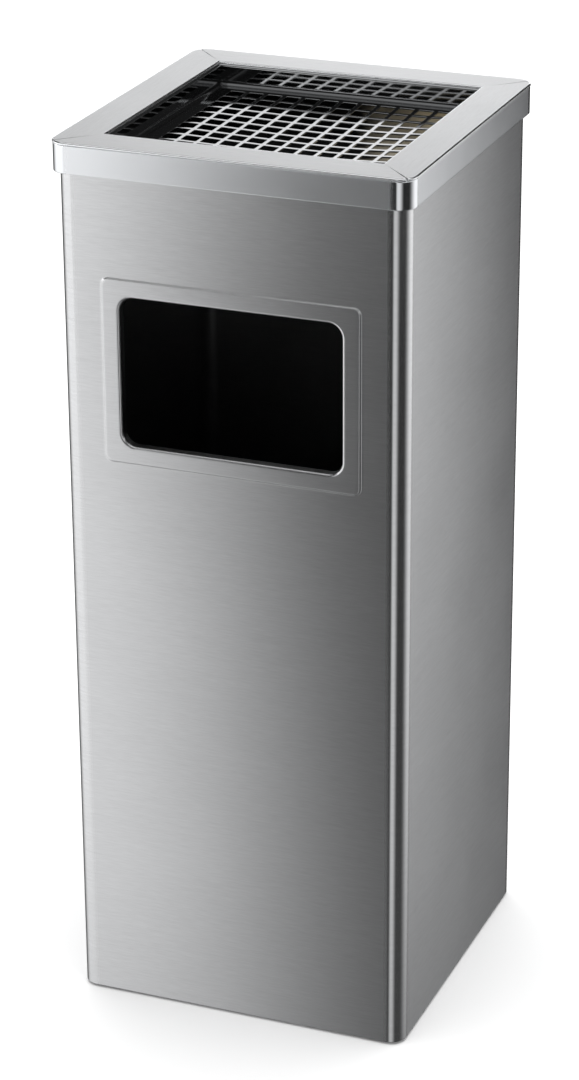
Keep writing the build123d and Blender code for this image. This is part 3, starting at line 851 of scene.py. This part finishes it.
def build_skirt():
    """The band folded down from under the strips, with a flattened safe edge along its foot."""
    shape = Shape()
    low, high = skirt_low.z, skirt_high.z
    fold_centre = (-SKIRT_FOLD, high - SKIRT_FOLD)
    hem_top = low + SKIRT_HEM_H
    profile = [(0, low + SKIRT_HEM_T)] + bend(fold_centre, SKIRT_FOLD, 0, 90)
    profile += [(-SKIRT_FLANGE, high), (-SKIRT_FLANGE, high - SHEET)]
    profile += bend(fold_centre, SKIRT_FOLD - SHEET, 90, 0)
    profile += [(-SHEET, hem_top), (-SKIRT_HEM_T + RAW_EDGE, hem_top), (-SKIRT_HEM_T, hem_top - RAW_EDGE)]
    profile += bend((-SHEET, low + SHEET), SHEET, 180, 360)
    shape.sweep(profile, skirt_high.x, SKIRT_RADIUS)
    shape.make("skirt_band", "top_frame", ["frame_skirt"], [skirt_steel])


# ---------------------------------------------------------------------------------------- ash pan
pan_low, pan_high = size_mm("ash_pan")
PAN_WALL = 97.0  # middle to the inner face of each wall
PAN_FOLD, PAN_RIM = 1.5, 1.2
PAN_RADIUS = 10.8  # of the flange's corners
PAN_DISH = 0.6  # how far the floor's middle is sunk


def build_pan():
    """The folded pan: square dish, rounded flange, and on the inside ash stain with painted shade and painted
    light.
    """
    shape = Shape()
    floor, top = pan_low.z + SHEET, pan_high.z
    reach = pan_high.x
    fold_centre, rim_centre = (PAN_WALL - PAN_FOLD, floor + PAN_FOLD), (PAN_WALL + PAN_RIM, top - PAN_RIM)
    inside = bend(fold_centre, PAN_FOLD, -90, 0)
    rim_in = bend(rim_centre, PAN_RIM, 180, 90)
    rim_out = bend(rim_centre, PAN_RIM - SHEET, 90, 180)
    outside = bend(fold_centre, PAN_FOLD + SHEET, 0, -90)
    flange = [(reach - RAW_EDGE, top), (reach, top - RAW_EDGE), (reach, top - SHEET + RAW_EDGE),
              (reach - RAW_EDGE, top - SHEET)]

    def rings(points, radius=0.0):
        """Square rows through (half width, up) points."""
        return [shape.row([(x, y, up) for x, y in outline(half, half, radius)]) for half, up in points]

    centre, under = rings([(0.0, floor - PAN_DISH), (0.0, floor - SHEET)])
    dish = rings(inside + rim_in)
    rim_start = len(inside)
    # painted shade and light: the dish's floor and walls get the stained material
    shape.finish = 1
    shape.loft([centre] + dish[:rim_start + 1])
    shape.finish = 0
    shape.loft(dish[rim_start:] + rings(flange, PAN_RADIUS) + rings(rim_out + outside) + [under])
    shape.make("pan_dish", "ash_pan", ["ash_pan"], [pan_steel, pan_stain_and_painted_light])


# ---------------------------------------------------------------------------------------- liner bucket
liner_low, liner_high = size_mm("liner_wall")
LINER_HALF = 109.0
LINER_RADIUS = 10.0
CURL = 2.6
CURL_END = -140  # degrees, where the rolled rim's free edge comes to lie
LINER_NECK = 20.0  # below the curl's middle, where the wall is cut once


def build_liner():
    """The bucket's wall, drawn out at the top into a rolled rim."""
    shape = Shape()
    low, roll = liner_low.z, liner_high.z - CURL
    centre = (CURL - SHEET, roll)
    profile = [(-RAW_EDGE, low), (0, low + RAW_EDGE), (0, roll - LINER_NECK)]
    profile += bend(centre, CURL - SHEET, 180, CURL_END, 20) + bend(centre, CURL, CURL_END, 180, 24)
    profile += [(-SHEET, roll - LINER_NECK), (-SHEET, low + RAW_EDGE), (-SHEET + RAW_EDGE, low)]
    shape.sweep(profile, LINER_HALF, LINER_RADIUS)
    shape.make("liner_sides", "liner", ["liner_wall"], [zinc_sheet])


# ---------------------------------------------------------------------------------------- feet
FOOT_HEIGHT = 10.0
WELL_RADIUS, WELL_DEPTH = 5.0, 4.5
BORE_RADIUS = 2.15
FOOT_TREAD = [(WELL_RADIUS, 0.6), (5.6, 0.0), (7.0, 0.0), (7.4, 0.5), (8.2, 0.5), (8.6, 0.0), (10.2, 0.0)]
FOOT_SIDE = [(11.0, 0.35), (11.55, 1.0), (11.6, 1.8), (10.9, 6.0), (10.4, 9.3), (10.0, FOOT_HEIGHT)]
RIBS, RIB_DEPTH = 24, 0.22
RIB_BAND = (1.5, 9.0)  # heights between which the side is ribbed
FOOT_POINTS = 96


def build_foot(node):
    """A moulded rubber foot with a ribbed side, a grip ring underneath and a well for the screw's head."""
    shape = Shape()
    low, high = size_mm(node)
    middle = (low + high) / 2
    bore = [(BORE_RADIUS, FOOT_HEIGHT), (BORE_RADIUS, WELL_DEPTH)]
    rows = []
    for radius, up in [(WELL_RADIUS, WELL_DEPTH)] + FOOT_TREAD + FOOT_SIDE + bore:
        ribbed = RIB_BAND[0] < up < RIB_BAND[1] and radius > WELL_RADIUS
        points = []
        for step in range(FOOT_POINTS):
            angle = 2 * math.pi * step / FOOT_POINTS
            reach = radius - RIB_DEPTH * (1 - math.cos(RIBS * angle)) if ribbed else radius
            points.append((middle.x + reach * math.cos(angle), middle.y + reach * math.sin(angle), up))
        rows.append(shape.row(points))
    shape.loft(rows, closed=True)
    shape.make(f"rubber_{node}", "body", [node], [black_rubber])


build_shell()
build_tray()
for side in STRIP_TURNS:
    build_strip(side)
build_skirt()
build_pan()
build_liner()
for node in sorted(nodes):
    if node.startswith("foot_") and node.count("_") == 2:
        build_foot(node)

SHEET_NODES = ("base_plate", "liner_bottom", "liner_rim_wire")  # the others that show are small fittings
for name, node in nodes.items():
    node.data.materials.clear()
    node.data.materials.append(zinc_sheet if name in SHEET_NODES else zinc_plate)
